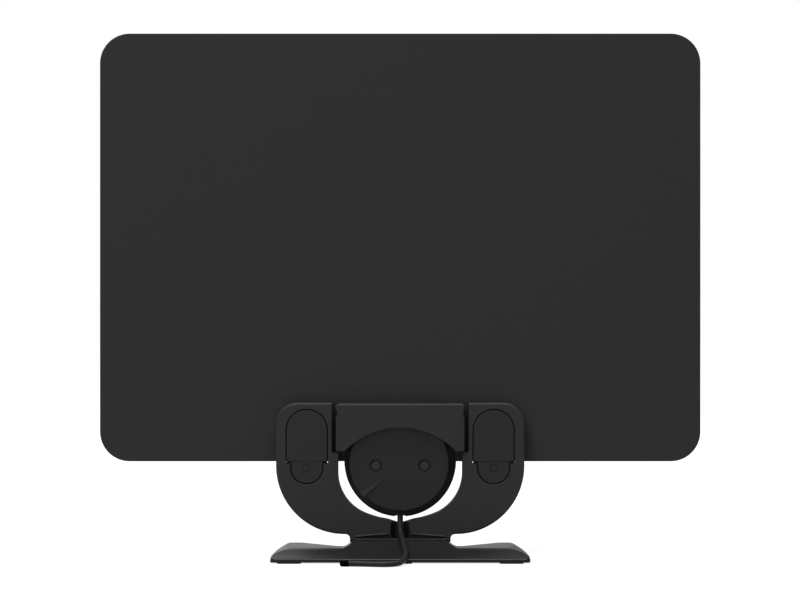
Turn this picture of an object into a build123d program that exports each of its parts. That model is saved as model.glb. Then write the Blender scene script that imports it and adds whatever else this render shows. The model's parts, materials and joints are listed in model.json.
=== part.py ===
from build123d import *
from math import radians, sqrt, tan
import os

# Flat indoor TV antenna on a table stand.
# Frame: +Z up, -Y is the rear, where the housing and the reel are, and +X is right seen from the rear.
# The origin is on the table, in the middle of the stand's base. All sizes are in millimetres.

# Panel: two bonded sheets with a foil element on each side between them
PANEL_W = 300.0
PANEL_H = 213.7
PANEL_CORNER_R = 14.8
PANEL_Z = 47.0  # lower edge above the table
PANEL_Y = 3.0  # plane in which the two sheets meet
SHEET_T = 0.8
NOTCH_R = 27.6  # round notch in the lower edge, for the reel
FOIL_T = 0.2
FOIL_MARGIN = 12.0
FOIL_SPACING = 24.0
FOIL_CORNER_R = 2.0
FEED_X = 27.8
FEED_RISE = 19.0  # feed points above the panel's lower edge
FEED_LUG = 3.2
FEED_TAPER_RISE = 34.0
FEED_PAD_R = 1.6
FEED_STRIP_W = 3.0
FEED_STRIP_T = 0.5
FEED_BOARD_X = 10.5
FEED_BOARD_RISE = 8.0

# Module housing on the panel's rear
HOUSING_W = 63.8
HOUSING_H = 23.35
HOUSING_RISE = 5.75
HOUSING_DEPTH = 11.0
HOUSING_WALL = 1.6
HOUSING_CORNER_R = 1.6
HOUSING_EDGE_R = 0.8
ARCH_TOP_RISE = 17.5
ARCH_W = 55.1
SNAP_NOTCH_H = 2.9
SNAP_NOTCH_DEPTH = 0.7
SNAP_NOTCH_DROP = 3.0
SNAP_NOTCH_LENGTH = 8.0

# Cable reel, centred on the panel's lower edge
FLANGE_R = 28.05
FLANGE_T = 2.0
FLANGE_STANDOFF = 2.2
FLANGE_EDGE_R = 1.0
FLANGE_REAR_EDGE_R = 0.9
COLLAR_W = 1.9
REEL_HUB_R = 18.5
REEL_HUB_WALL = 1.8
DISC_R = 24.0
DISC_WIDE_R = 25.05  # of the half that the lips end on
DISC_T = 2.2
DISC_EDGE_R = 0.4
DISC_CLEARANCE = 0.4  # under the housing's rear wall
SPIGOT_T = 1.4
SPIGOT_H = 1.2
LIP_ANGLE = 223.6
LIP_INNER_R = 9.0
LIP_W = 3.4
LIP_H = 1.0
LIP_ROOT = 1.5  # depth of the lips' foot in the disc
LIP_RIM_INSET = 0.3
RIVET_X = 12.1
RIVET_DROP = 1.7
RIVET_HEAD_R = 2.15
RIVET_HEAD_T = 0.9
RIVET_HEAD_CHAMFER = 0.22
RIVET_SHANK_R = 1.35
RIVET_LENGTH = 7.0
COUNTERBORE_R = 3.0
COUNTERBORE_DEPTH = 1.0
COUNTERBORE_BEVEL = 0.3
BOSS_R = 2.8
BOARD_T = 1.2
BOARD_LEDGE_W = 1.4
BALUN_SIZE = 7.0
BALUN_H = 4.0
BALUN_CORNER_R = 1.75
BALUN_HOLE_R = 0.9
NOZZLE_R = 1.45
NOZZLE_LENGTH = 17.5
NOZZLE_SLOT_W = 5.0
NOZZLE_SLOT_H = 0.6

# Stand bracket: a U plate that carries the panel's lower edge
BRACKET_W = 123.4
BRACKET_T = 8.0
BRACKET_TOP_RISE = 29.4
BRACKET_CORNER_R = 10.2
BRACKET_BEND_R = 34.0
BRACKET_EDGE_R = 1.0
OPENING_TOP_W = 68.1
OPENING_W = 61.6
OPENING_STEP_RISE = 4.8
OPENING_STEP_R = 1.0
OPENING_CORNER_R = 22.0
OPENING_FLOOR_R = 45.0
OPENING_DROP = 28.9  # floor of the opening below the panel's lower edge
NECK_W = 50.0
NECK_H = 1.8
NECK_LAP = 2.1
NECK_FLARE_R = 2.0
MOUTH_SIDE_H = 0.2
MOUTH_CENTRE_H = 1.6
MOUTH_DEPTH = 1.4
MOUTH_SIDE_INSET = 0.4  # from the end of the hub's flat top
MOUTH_BEAD_W = 1.0
MOUTH_BEAD_H = 0.6
MOUTH_BEAD_TAPER = 35.0
GROOVE_TOP_W = 9.0
GROOVE_FOOT_W = 11.6
GROOVE_DEPTH = 6.2
GROOVE_TAPER = 20.0
DIP_W = 13.0  # dip in the opening's floor at the groove
DIP_H = 1.6
HOOK_W = 17.0
HOOK_T = 2.0
HOOK_FLOOR_T = 2.6
HOOK_RISE = 23.0

# Clip levers, which pinch the panel against the hooks
LEVER_X = 46.4
LEVER_T = 3.0
LEVER_W = 19.9
LEVER_RISE = 26.8  # top of the plate above the hinge
LEVER_GAP = 0.55
SHOULDER_RISE = 1.3
TAB_W = 15.2
TAB_DROP = 9.6
TAB_GAP = 0.5
RECESS_FLOOR_T = 2.0
RECESS_LIP = 0.45
RECESS_LIP_ANGLE = 45.0
HINGE_DROP = 0.7  # hinge axis below the panel's lower edge
HINGE_DEPTH = 2.2  # hinge axis ahead of the bracket's rear face
NOTCH_DROP = 0.1  # floor of the hinge notches below the axis
BARREL_R = 1.9
PIN_R = 0.6
PIN_CLEARANCE = 0.06
CHEEK_T = 1.6
CHEEK_R = 1.2
CHEEK_GAP = 0.3
FOOT_RISE = 21.7
FOOT_H = 4.0
FOOT_W = 12.0
PINCH_CLEARANCE = 0.1
CREASE = 0.3
MARK_R = 2.0
MARK_W = 0.45
MARK_DEPTH = 0.4
MARK_DROP = 1.8
SPRING_W = 6.0
SPRING_T = 0.3
SPRING_BEND_R = 0.5
SPRING_LENGTH = 4.6
SPRING_CLEARANCE = 0.05

# Base: straight rear edge, swept wings, raised hub
BASE_W = 126.2
BASE_FRONT_W = 114.4
BASE_DEPTH = 74.0
BASE_TIP_BOW = 1.6
BASE_TIP_W = 7.0
BASE_TIP_R = 4.0
BASE_CORNER_R = 2.8
BASE_WALL = 1.8
RIM_T = 1.8
TIP_ROUND_W = 15.0  # the wings' top falls in a quarter ellipse over this width at each tip
TIP_ROUND_LEAD = 0.4  # by which the ellipse starts outside the tip
TIP_ROUND_FOOT = 1.0  # start of the ellipse above the base's underside
WING_Z = 5.8  # crest of the wings before it is rounded
WING_FALL = 0.05  # fall of the wings' top towards the front, per millimetre
WING_EDGE_R = 1.1
CREST_R = 28.0
HUB_Z = 9.5
HUB_LIP_H = 1.0  # upright step at the top of the rear slope
HUB_LIP_R = 0.5
HUB_W = 45.4
HUB_FLARE_R = 12.0
FLARE_TUCK = 0.7  # the flare's low end lies this far under the wings' top
HUB_REAR = 27.0  # from the base's rear edge to the hub's rear lip
HUB_SWEEP_W = 52.0
HUB_SWEEP_BACK = 31.0  # from the base's rear edge to the root of the wings' front edge
HUB_DEPTH = 17.0
REAR_SAG = 1.0  # hollow of the rear slope below its chord
CREST_BACK = 18.0  # from the base's rear edge to the wings' crest
SWEEP_ROOT_R = 3.0
RIB_T = 1.2
RIB_X = (14.0, 38.0)
TONGUE_X = 14.5
TONGUE_W = 11.0
TONGUE_T = 2.6
TONGUE_BACK = 2.5  # middle of the tongues behind the bracket's front face
TONGUE_ROOF = 1.4  # left above each tongue's pocket
TONGUE_CLEARANCE = 0.15
FOOT_PAD_W = 11.6
FOOT_PAD_D = 7.0
FOOT_PAD_T = 1.2
FOOT_PAD_STAND = 0.6
FOOT_PAD_R = 1.5
FOOT_PAD_SIDE_INSET = 9.2  # middle of a pad to the base's side
FOOT_PAD_REAR_INSET = 4.0
FOOT_PAD_TIP_SIDE_INSET = 4.8
FOOT_PAD_TIP_INSET = 12.0

# Lead: from the nozzle's end, over the base's rear slope, to the table
CABLE_R = 1.4
CABLE_BEND_SHARE = 0.45  # of the shorter run, taken by each bend
CABLE_POINTS = [
    (0.0, -5.4, 14.6),
    (0.0, -6.6, 11.9),
    (0.8, -11.5, 10.5),
    (1.8, -19.5, 7.7),
    (2.8, -30.4, 5.3),
    (2.4, -41.5, 3.7),
    (0.4, -49.2, 1.7),
    (-5.6, -52.4, 1.5),
    (-13.4, -51.0, 1.5),
    (-19.6, -49.4, 1.5),
    (-24.6, -49.0, 1.5),
]
SOCKET_R = 1.48
SOCKET_LENGTH = 4.4
SOCKET_EDGE_R = 1.3
SOCKET_BORE_R = 0.65
SOCKET_BORE_DEPTH = 2.8
INSULATOR_T = 1.0
CONTACT_R = 0.25
CONTACT_LENGTH = 2.2

LINE_TOLERANCE = 0.001  # for picking edges and corners by their place

# Levels worked out from the sizes above
PANEL_REAR = PANEL_Y - SHEET_T
PANEL_FRONT = PANEL_Y + SHEET_T
FEED_Z = PANEL_Z + FEED_RISE
HOUSING_REAR = PANEL_REAR - HOUSING_DEPTH
HOUSING_Z = PANEL_Z + HOUSING_RISE
HOUSING_TOP = HOUSING_Z + HOUSING_H
ARCH_TOP_Z = PANEL_Z + ARCH_TOP_RISE
DISC_REAR = HOUSING_REAR + HOUSING_WALL + DISC_CLEARANCE
DISC_FRONT = DISC_REAR + DISC_T
FLANGE_REAR = PANEL_FRONT + FLANGE_STANDOFF
FLANGE_FRONT = FLANGE_REAR + FLANGE_T
RIVET_Z = PANEL_Z - RIVET_DROP
RIVET_SEAT = DISC_REAR + COUNTERBORE_DEPTH
BOARD_FRONT = PANEL_Y + BOARD_T
BRACKET_FRONT = PANEL_REAR
BRACKET_REAR = BRACKET_FRONT - BRACKET_T
BRACKET_TOP = PANEL_Z + BRACKET_TOP_RISE
OPENING_FLOOR = PANEL_Z - OPENING_DROP
HINGE_Y = BRACKET_REAR + HINGE_DEPTH
HINGE_Z = PANEL_Z - HINGE_DROP
RECESS_FLOOR = BRACKET_FRONT - RECESS_FLOOR_T
LEVER_FRONT = BRACKET_REAR + LEVER_T
BASE_REAR = -BASE_DEPTH / 2
BASE_FRONT = BASE_DEPTH / 2
BASE_Z = FOOT_PAD_STAND
RIM_Z = BASE_Z + RIM_T
HUB_LIP_Y = BASE_REAR + HUB_REAR
CREST_Y = BASE_REAR + CREST_BACK
NECK_Z = HUB_Z - NECK_LAP
BEND_Z = HUB_Z + NECK_H  # lowest line of the bracket's two bends
TONGUE_Y = BRACKET_FRONT - TONGUE_BACK
TONGUE_TOP = OPENING_FLOOR - TONGUE_ROOF - TONGUE_CLEARANCE


def slab(outline, rear, front):
    """Extrudes an outline drawn in x and z between two values of y."""
    drawing = Plane((0, front, 0), x_dir=(1, 0, 0), z_dir=(0, -1, 0))
    return extrude(drawing * outline, amount=front - rear)


def rod_y(radius, x, z, rear, front):
    """Makes a round bar along y."""
    return slab(Pos(x, z) * Circle(radius), rear, front)


def rod_x(radius, y, z, left, right):
    """Makes a round bar along x."""
    end = Plane((left, y, z), x_dir=(0, 1, 0), z_dir=(1, 0, 0))
    return extrude(end * Circle(radius), amount=right - left)


def block(left, right, rear, front, bottom, top):
    """Makes a box between its six faces."""
    middle = Pos((left + right) / 2, (rear + front) / 2, (bottom + top) / 2)
    return middle * Box(right - left, front - rear, top - bottom)


def polygon(points):
    """Makes a face from the corners of an outline."""
    return make_face(Polyline(*points, close=True))


def round_topped(x, width, bottom, top):
    """Draws an upright outline with a half-round top."""
    radius = width / 2
    straight = Pos(x, (bottom + top - radius) / 2) * Rectangle(width, top - radius - bottom)
    return straight + Pos(x, top - radius) * Circle(radius)


def round_footed(x, width, bottom, top):
    """Draws an upright outline with a half-round foot."""
    radius = width / 2
    straight = Pos(x, (bottom + radius + top) / 2) * Rectangle(width, top - bottom - radius)
    return straight + Pos(x, bottom + radius) * Circle(radius)


def left_of(piece):
    """Mirrors a right-hand piece to the left."""
    return mirror(piece, about=Plane.YZ)


def edges_at(piece, axis, value):
    """Lists the edges that lie in one plane across an axis."""
    return piece.edges().filter_by_position(axis, value - LINE_TOLERANCE, value + LINE_TOLERANCE)


# Panel


def panel_outline():
    sheet = Pos(0, PANEL_Z + PANEL_H / 2) * RectangleRounded(PANEL_W, PANEL_H, PANEL_CORNER_R)
    return sheet - Pos(0, PANEL_Z) * Circle(NOTCH_R)


def foil_outline():
    """Draws the right-hand element: a plate that tapers to its feed lug."""
    inner = FOIL_SPACING / 2
    outer = PANEL_W / 2 - FOIL_MARGIN
    top = PANEL_Z + PANEL_H - FOIL_MARGIN
    corners = [
        (FEED_X, FEED_Z - FEED_LUG),
        (outer, FEED_Z - FEED_LUG),
        (outer, top),
        (inner, top),
        (inner, FEED_Z + FEED_TAPER_RISE),
        (FEED_X - FEED_LUG, FEED_Z),
    ]
    face = polygon(corners)
    return fillet(face.vertices(), FOIL_CORNER_R)


def element_foil():
    return slab(foil_outline(), PANEL_Y, PANEL_Y + FOIL_T)


def front_sheet():
    foil = element_foil()
    return slab(panel_outline(), PANEL_Y, PANEL_FRONT) - foil - left_of(foil)


def rear_sheet():
    """The feed strips reach the foils through two round windows."""
    window = rod_y(FEED_PAD_R + TONGUE_CLEARANCE, FEED_X, FEED_Z, PANEL_REAR, PANEL_Y)
    return slab(panel_outline(), PANEL_REAR, PANEL_Y) - window - left_of(window)


def feed_strip():
    """A flat strip with a solder pad at each end, one on the foil and one on the circuit board."""
    start = Vector(FEED_X, FEED_Z)
    end = Vector(FEED_BOARD_X, PANEL_Z + FEED_BOARD_RISE)
    bar = trace(Line(start, end), line_width=FEED_STRIP_W)
    ends = Pos(start) * Circle(FEED_STRIP_W / 2) + Pos(end) * Circle(FEED_STRIP_W / 2)
    strip = slab(bar + ends, PANEL_REAR - FEED_STRIP_T, PANEL_REAR)
    pads = Pos(start) * Circle(FEED_PAD_R) + Pos(end) * Circle(FEED_PAD_R)
    return strip + slab(pads, PANEL_REAR, PANEL_Y)


def feed_slot():
    """The room that a strip needs where it passes through the reel's hub."""
    start = Vector(FEED_X, FEED_Z)
    end = Vector(FEED_BOARD_X, PANEL_Z + FEED_BOARD_RISE)
    path = trace(Line(start, end), line_width=FEED_STRIP_W + 2 * TONGUE_CLEARANCE)
    return slab(path, PANEL_REAR - FEED_STRIP_T - TONGUE_CLEARANCE, PANEL_REAR + TONGUE_CLEARANCE)


# Housing and reel


def housing_arch(inset):
    """The round cut in the housing's lower edge, or what lies inside it by an inset."""
    rise = ARCH_TOP_Z - HOUSING_Z
    radius = ((ARCH_W / 2) ** 2 + rise**2) / (2 * rise)
    return rod_y(radius - inset, 0, ARCH_TOP_Z - radius, HOUSING_REAR, PANEL_REAR)


def module_housing():
    """A shell open to the panel, with an arch cut in its lower edge for the reel's disc."""
    half = HOUSING_W / 2
    outline = Pos(0, HOUSING_Z + HOUSING_H / 2) * Rectangle(HOUSING_W, HOUSING_H)
    outline = fillet(outline.vertices().group_by(Axis.Y)[-1], HOUSING_CORNER_R)
    body = slab(outline, HOUSING_REAR, PANEL_REAR)
    rear_edges = edges_at(body, Axis.Y, HOUSING_REAR)
    body = fillet(rear_edges.sort_by(Axis.Z)[1:], HOUSING_EDGE_R)
    inside = block(
        HOUSING_WALL - half,
        half - HOUSING_WALL,
        HOUSING_REAR + HOUSING_WALL,
        PANEL_REAR,
        HOUSING_Z + HOUSING_WALL,
        HOUSING_TOP - HOUSING_WALL,
    )
    arch = housing_arch(0)
    top = HOUSING_TOP - SNAP_NOTCH_DROP
    rear = HOUSING_REAR + SNAP_NOTCH_LENGTH
    notch = block(half - SNAP_NOTCH_DEPTH, half, HOUSING_REAR, rear, top - SNAP_NOTCH_H, top)
    return body - inside - arch - notch - left_of(notch)


def reel_core():
    """Hub, front flange and the half collar that seats on the panel's front."""
    upper_half = Pos(0, PANEL_Z + FLANGE_R) * Rectangle(4 * FLANGE_R, 2 * FLANGE_R)
    flange_face = Pos(0, PANEL_Z) * Circle(FLANGE_R)
    collar_face = (Pos(0, PANEL_Z) * Circle(FLANGE_R + COLLAR_W)) & upper_half
    flange = slab(flange_face + collar_face, FLANGE_REAR, FLANGE_FRONT)
    flange = fillet(edges_at(flange, Axis.Y, FLANGE_FRONT), FLANGE_EDGE_R)
    lower_arc = edges_at(flange, Axis.Y, FLANGE_REAR).sort_by(Axis.Z)[0]
    flange = fillet(lower_arc, FLANGE_REAR_EDGE_R)
    collar = slab(collar_face - flange_face, PANEL_FRONT, FLANGE_REAR)
    inner_r = REEL_HUB_R - REEL_HUB_WALL
    hub_face = Pos(0, PANEL_Z) * (Circle(REEL_HUB_R) - Circle(inner_r))
    hub = slab(hub_face, DISC_FRONT, FLANGE_REAR)
    ledge_face = Pos(0, PANEL_Z) * (Circle(inner_r) - Circle(inner_r - BOARD_LEDGE_W))
    ledge = slab(ledge_face, BOARD_FRONT, FLANGE_REAR)
    core = flange + collar + hub + ledge
    for x in (-RIVET_X, RIVET_X):
        core += rod_y(BOSS_R, x, RIVET_Z, DISC_FRONT, FLANGE_REAR)
        hole_end = RIVET_SEAT + RIVET_LENGTH + TONGUE_CLEARANCE
        core -= rod_y(RIVET_SHANK_R + PIN_CLEARANCE, x, RIVET_Z, DISC_FRONT, hole_end)
    slot = feed_slot()
    relief_low = PANEL_Z - FLANGE_R
    relief_sides = (-NOZZLE_SLOT_W / 2, NOZZLE_SLOT_W / 2)
    relief = block(*relief_sides, FLANGE_REAR, FLANGE_FRONT, relief_low, relief_low + NOZZLE_SLOT_H)
    return core - slot - left_of(slot) - relief - nozzle_bar(NOZZLE_R + PIN_CLEARANCE)


def lip_wedge():
    """A lip that rises towards the rim, with a straight step on one side, to catch the lead."""
    along = Vector(1, 0, 0).rotate(Axis.Y, -LIP_ANGLE)
    centre = Vector(0, DISC_REAR, PANEL_Z)
    rim = centre + along * DISC_WIDE_R
    end = Plane(rim, x_dir=(0, -1, 0), z_dir=along)
    root_w = LIP_W * (LIP_H + LIP_ROOT) / LIP_H
    step = end * polygon([(-LIP_ROOT, 0), (LIP_H, 0), (-LIP_ROOT, root_w)])
    point = Vertex(*(centre + along * LIP_INNER_R))
    return loft([step, point])


def disc_outline():
    """A circle whose one half, on the lips' diagonal, is a little wider than the other."""
    wide_half = Pos(-DISC_WIDE_R, 0) * Rectangle(2 * DISC_WIDE_R, 4 * DISC_WIDE_R)
    turned = Rot(0, 0, LIP_ANGLE - 270) * wide_half
    return Pos(0, PANEL_Z) * (Circle(DISC_R) + (Circle(DISC_WIDE_R) & turned))


def counterbore(x):
    """The seat of a rivet's head, with a bevelled mouth."""
    mouth = Plane((x, DISC_REAR, RIVET_Z), x_dir=(1, 0, 0), z_dir=(0, 1, 0))
    ring = mouth * Circle(COUNTERBORE_R + COUNTERBORE_BEVEL)
    bevel = extrude(ring, amount=COUNTERBORE_BEVEL, taper=45)
    return bevel + rod_y(COUNTERBORE_R, x, RIVET_Z, DISC_REAR, RIVET_SEAT)


def reel_disc():
    """The rear flange, with two raised lips on one diagonal and two counterbored holes."""
    disc = slab(disc_outline(), DISC_REAR, DISC_FRONT)
    disc = fillet(edges_at(disc, Axis.Y, DISC_REAR).filter_by(GeomType.CIRCLE), DISC_EDGE_R)
    lip = lip_wedge() & rod_y(DISC_WIDE_R - LIP_RIM_INSET, 0, PANEL_Z, DISC_REAR - LIP_H, DISC_FRONT)
    other_lip = lip.rotate(Axis((0, 0, PANEL_Z), (0, 1, 0)), 180) & housing_arch(DISC_CLEARANCE)
    disc += [lip, other_lip]
    spigot_r = REEL_HUB_R - REEL_HUB_WALL - TONGUE_CLEARANCE
    spigot = Pos(0, PANEL_Z) * (Circle(spigot_r) - Circle(spigot_r - SPIGOT_T))
    disc += slab(spigot, DISC_FRONT, DISC_FRONT + SPIGOT_H)
    for x in (-RIVET_X, RIVET_X):
        disc -= counterbore(x)
        disc -= rod_y(RIVET_SHANK_R + PIN_CLEARANCE, x, RIVET_Z, RIVET_SEAT, DISC_FRONT)
        disc -= rod_y(BOSS_R + TONGUE_CLEARANCE, x, RIVET_Z, DISC_FRONT, DISC_FRONT + SPIGOT_H)
    return disc


def push_rivet():
    head = rod_y(RIVET_HEAD_R, RIVET_X, RIVET_Z, RIVET_SEAT - RIVET_HEAD_T, RIVET_SEAT)
    head = chamfer(edges_at(head, Axis.Y, RIVET_SEAT - RIVET_HEAD_T), RIVET_HEAD_CHAMFER)
    return head + rod_y(RIVET_SHANK_R, RIVET_X, RIVET_Z, RIVET_SEAT, RIVET_SEAT + RIVET_LENGTH)


def circuit_board():
    board = rod_y(REEL_HUB_R - REEL_HUB_WALL - TONGUE_CLEARANCE, 0, PANEL_Z, PANEL_Y, BOARD_FRONT)
    for x in (-RIVET_X, RIVET_X):
        board -= rod_y(BOSS_R + TONGUE_CLEARANCE, x, RIVET_Z, PANEL_Y, BOARD_FRONT)
    return board


def balun_core():
    """A two-hole ferrite on the board."""
    core = Pos(0, PANEL_Z) * RectangleRounded(2 * BALUN_SIZE, BALUN_SIZE, BALUN_CORNER_R)
    for x in (-BALUN_SIZE / 2, BALUN_SIZE / 2):
        core -= Pos(x, PANEL_Z) * Circle(BALUN_HOLE_R)
    return slab(core, PANEL_Y - BALUN_H, PANEL_Y)


def nozzle_bar(radius):
    """A tilted bar from the lead's start up into the reel's hub."""
    up = Vector(*CABLE_POINTS[0]) - Vector(*CABLE_POINTS[1])
    return extrude(Plane(CABLE_POINTS[0], z_dir=up) * Circle(radius), amount=NOZZLE_LENGTH)


def strain_relief():
    return nozzle_bar(NOZZLE_R)


# Stand bracket and levers


def bracket_plate():
    """The U plate before its opening is cut, with its rear outer edge rounded."""
    centre = (BEND_Z + BRACKET_TOP) / 2
    outline = Pos(0, centre) * Rectangle(BRACKET_W, BRACKET_TOP - BEND_Z)
    outline = fillet(outline.vertices().group_by(Axis.Y)[-1], BRACKET_CORNER_R)
    outline = fillet(outline.vertices().group_by(Axis.Y)[0], BRACKET_BEND_R)
    plate = slab(outline, BRACKET_REAR, BRACKET_FRONT)
    return fillet(edges_at(plate, Axis.Y, BRACKET_REAR), BRACKET_EDGE_R)


def bracket_opening():
    """The U's inside: a wide mouth for the housing, then a round-bottomed space for the reel."""
    half = OPENING_W / 2
    step_z = PANEL_Z + OPENING_STEP_RISE
    floor_z = OPENING_FLOOR + OPENING_FLOOR_R
    corner_x = half - OPENING_CORNER_R
    reach = OPENING_FLOOR_R - OPENING_CORNER_R
    corner_z = floor_z - sqrt(reach**2 - corner_x**2)
    below = Pos(0, (OPENING_FLOOR + corner_z) / 2) * Rectangle(OPENING_W, corner_z - OPENING_FLOOR)
    contact_x = corner_x * OPENING_FLOOR_R / reach
    below &= Pos(0, floor_z) * Rectangle(2 * contact_x, 2 * OPENING_FLOOR_R)
    round_space = (Pos(0, floor_z) * Circle(OPENING_FLOOR_R)) & below
    for x in (-corner_x, corner_x):
        round_space += Pos(x, corner_z) * Circle(OPENING_CORNER_R)
    sides = Pos(0, (corner_z + step_z) / 2) * Rectangle(OPENING_W, step_z - corner_z)
    mouth = Pos(0, (step_z + BRACKET_TOP) / 2) * Rectangle(OPENING_TOP_W, BRACKET_TOP - step_z)
    mouth = fillet(mouth.vertices().group_by(Axis.Y)[0], OPENING_STEP_R)
    return slab(round_space + sides + mouth, BRACKET_REAR, BRACKET_FRONT)


def neck():
    """A foot that caps the base's hub, with an arched mouth at the rear and a bead along the arch."""
    half = NECK_W / 2
    top = BEND_Z + BRACKET_EDGE_R
    outline = Pos(0, (NECK_Z + top) / 2) * Rectangle(NECK_W, top - NECK_Z)
    flare = Pos(half + NECK_FLARE_R / 2, BEND_Z + BRACKET_EDGE_R / 2 - NECK_FLARE_R / 2)
    web = flare * Rectangle(NECK_FLARE_R, BRACKET_EDGE_R + NECK_FLARE_R)
    web -= Pos(half + NECK_FLARE_R, BEND_Z - NECK_FLARE_R) * Circle(NECK_FLARE_R)
    outline += web + mirror(web, about=Plane.YZ)
    foot = slab(outline, BRACKET_REAR, BRACKET_FRONT)
    side_z = HUB_Z + MOUTH_SIDE_H
    centre_z = HUB_Z + MOUTH_CENTRE_H
    side = HUB_W / 2 - MOUTH_SIDE_INSET
    middle = GROOVE_FOOT_W / 2
    arch = [(-side, side_z), (-middle, centre_z), (middle, centre_z), (side, side_z)]
    mouth_face = polygon([(-side, NECK_Z), *arch, (side, NECK_Z)])
    mouth = slab(mouth_face, BRACKET_REAR, BRACKET_REAR + MOUTH_DEPTH)
    raised = [(x, z + MOUTH_BEAD_W) for x, z in reversed(arch)]
    rear_face = Plane((0, BRACKET_REAR, 0), x_dir=(1, 0, 0), z_dir=(0, -1, 0))
    for corners in ([*arch[:2], *raised[2:]], [*arch[2:], *raised[:2]]):
        foot += extrude(rear_face * polygon(corners), amount=MOUTH_BEAD_H, taper=MOUTH_BEAD_TAPER)
    return foot - mouth - hub(0)


def floor_dip():
    """The shallow V in the opening's floor, where the nozzle comes down."""
    half = DIP_W / 2
    sag = OPENING_FLOOR_R - sqrt(OPENING_FLOOR_R**2 - half**2)
    edge_z = OPENING_FLOOR + sag
    dip = polygon([(-half, edge_z), (0, OPENING_FLOOR - DIP_H), (half, edge_z)])
    return slab(dip, BRACKET_REAR, BRACKET_FRONT)


def cable_groove():
    """The groove down the neck, wider at its foot, with sides that slope inwards."""
    top = OPENING_FLOOR + GROOVE_DEPTH
    low = NECK_Z - GROOVE_DEPTH
    half_top = GROOVE_TOP_W / 2
    half_foot = GROOVE_FOOT_W / 2
    corners = [(-half_foot, low), (-half_top, top), (half_top, top), (half_foot, low)]
    mouth = Plane((0, BRACKET_REAR - MOUTH_BEAD_H, 0), x_dir=(-1, 0, 0), z_dir=(0, 1, 0))
    return extrude(mouth * polygon(corners), amount=GROOVE_DEPTH + MOUTH_BEAD_H, taper=GROOVE_TAPER)


def tongue(clearance):
    """A tongue of the base, or its pocket in the bracket when given a clearance."""
    half_w = TONGUE_W / 2 + clearance
    half_t = TONGUE_T / 2 + clearance
    left = TONGUE_X - half_w
    right = TONGUE_X + half_w
    return block(left, right, TONGUE_Y - half_t, TONGUE_Y + half_t, HUB_Z, TONGUE_TOP + clearance)


def lever_cuts():
    """The window round a lever's plate and the recess round its thumb tab."""
    window_w = LEVER_W + 2 * LEVER_GAP
    window = round_topped(LEVER_X, window_w, HINGE_Z - NOTCH_DROP, HINGE_Z + LEVER_RISE + LEVER_GAP)
    recess_w = TAB_W + 2 * TAB_GAP
    recess = round_footed(LEVER_X, recess_w, HINGE_Z - TAB_DROP - TAB_GAP, HINGE_Z)
    rim = round_footed(LEVER_X, recess_w, HINGE_Z - TAB_DROP - TAB_GAP, HINGE_Z - NOTCH_DROP)
    lip_plane = Plane((0, BRACKET_REAR + RECESS_LIP, 0), x_dir=(1, 0, 0), z_dir=(0, -1, 0))
    lip = extrude(lip_plane * rim, amount=RECESS_LIP, taper=-RECESS_LIP_ANGLE)
    return slab(window, BRACKET_REAR, BRACKET_FRONT) + slab(recess, BRACKET_REAR, RECESS_FLOOR) + lip


def hook():
    """The jaw under and in front of the panel's lower edge."""
    left = LEVER_X - HOOK_W / 2
    right = LEVER_X + HOOK_W / 2
    bottom = PANEL_Z - HOOK_FLOOR_T
    floor = block(left, right, RECESS_FLOOR, PANEL_FRONT + HOOK_T, bottom, PANEL_Z)
    jaw_face = round_topped(LEVER_X, HOOK_W, bottom, PANEL_Z + HOOK_RISE)
    return floor + slab(jaw_face, PANEL_FRONT, PANEL_FRONT + HOOK_T)


def cheeks():
    """The two thin ears, beside a lever's barrel, that carry the hinge pin."""
    ears = []
    inner = TAB_W / 2 + CHEEK_GAP
    for left in (LEVER_X - inner - CHEEK_T, LEVER_X + inner):
        right = left + CHEEK_T
        ear = rod_x(CHEEK_R, HINGE_Y, HINGE_Z, left, right)
        foot_z = HINGE_Z - NOTCH_DROP - CHEEK_R
        ear += block(left, right, HINGE_Y - CHEEK_R, HINGE_Y + CHEEK_R, foot_z, HINGE_Z)
        ears.append(ear)
    return ears


def stand_bracket():
    bracket = bracket_plate() - bracket_opening() - floor_dip() + neck() - cable_groove()
    for side in (lambda piece: piece, left_of):
        bracket -= side(tongue(TONGUE_CLEARANCE))
        bracket -= side(lever_cuts())
        bracket += side(hook())
        for ear in cheeks():
            bracket += side(ear)
        bracket -= side(hinge_pin())
    return bracket


def hinge_pin():
    reach = TAB_W / 2 + CHEEK_GAP + CHEEK_T
    return rod_x(PIN_R, HINGE_Y, HINGE_Z, LEVER_X - reach, LEVER_X + reach)


def clip_lever():
    """Plate, thumb tab, hinge barrel and the foot that presses on the panel."""
    plate = round_topped(LEVER_X, LEVER_W, HINGE_Z + SHOULDER_RISE, HINGE_Z + LEVER_RISE)
    tab = round_footed(LEVER_X, TAB_W, HINGE_Z - TAB_DROP, HINGE_Z + SHOULDER_RISE)
    lever = slab(plate + tab, BRACKET_REAR, LEVER_FRONT)
    left = LEVER_X - TAB_W / 2
    right = LEVER_X + TAB_W / 2
    lever += rod_x(BARREL_R, HINGE_Y, HINGE_Z, left, right)
    foot_z = HINGE_Z + FOOT_RISE
    half_foot = FOOT_W / 2
    foot_front = PANEL_REAR - PINCH_CLEARANCE
    foot_sides = (LEVER_X - half_foot, LEVER_X + half_foot)
    lever += block(*foot_sides, LEVER_FRONT, foot_front, foot_z - FOOT_H / 2, foot_z + FOOT_H / 2)
    lever -= rod_x(PIN_R + PIN_CLEARANCE, HINGE_Y, HINGE_Z, left, right)
    crease_z = HINGE_Z + SHOULDER_RISE
    lever -= block(left, right, BRACKET_REAR, BRACKET_REAR + CREASE, crease_z - CREASE, crease_z)
    mark = Pos(LEVER_X, HINGE_Z - MARK_DROP) * (Circle(MARK_R) - Circle(MARK_R - MARK_W))
    return lever - slab(mark, BRACKET_REAR, BRACKET_REAR + MARK_DEPTH)


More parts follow.
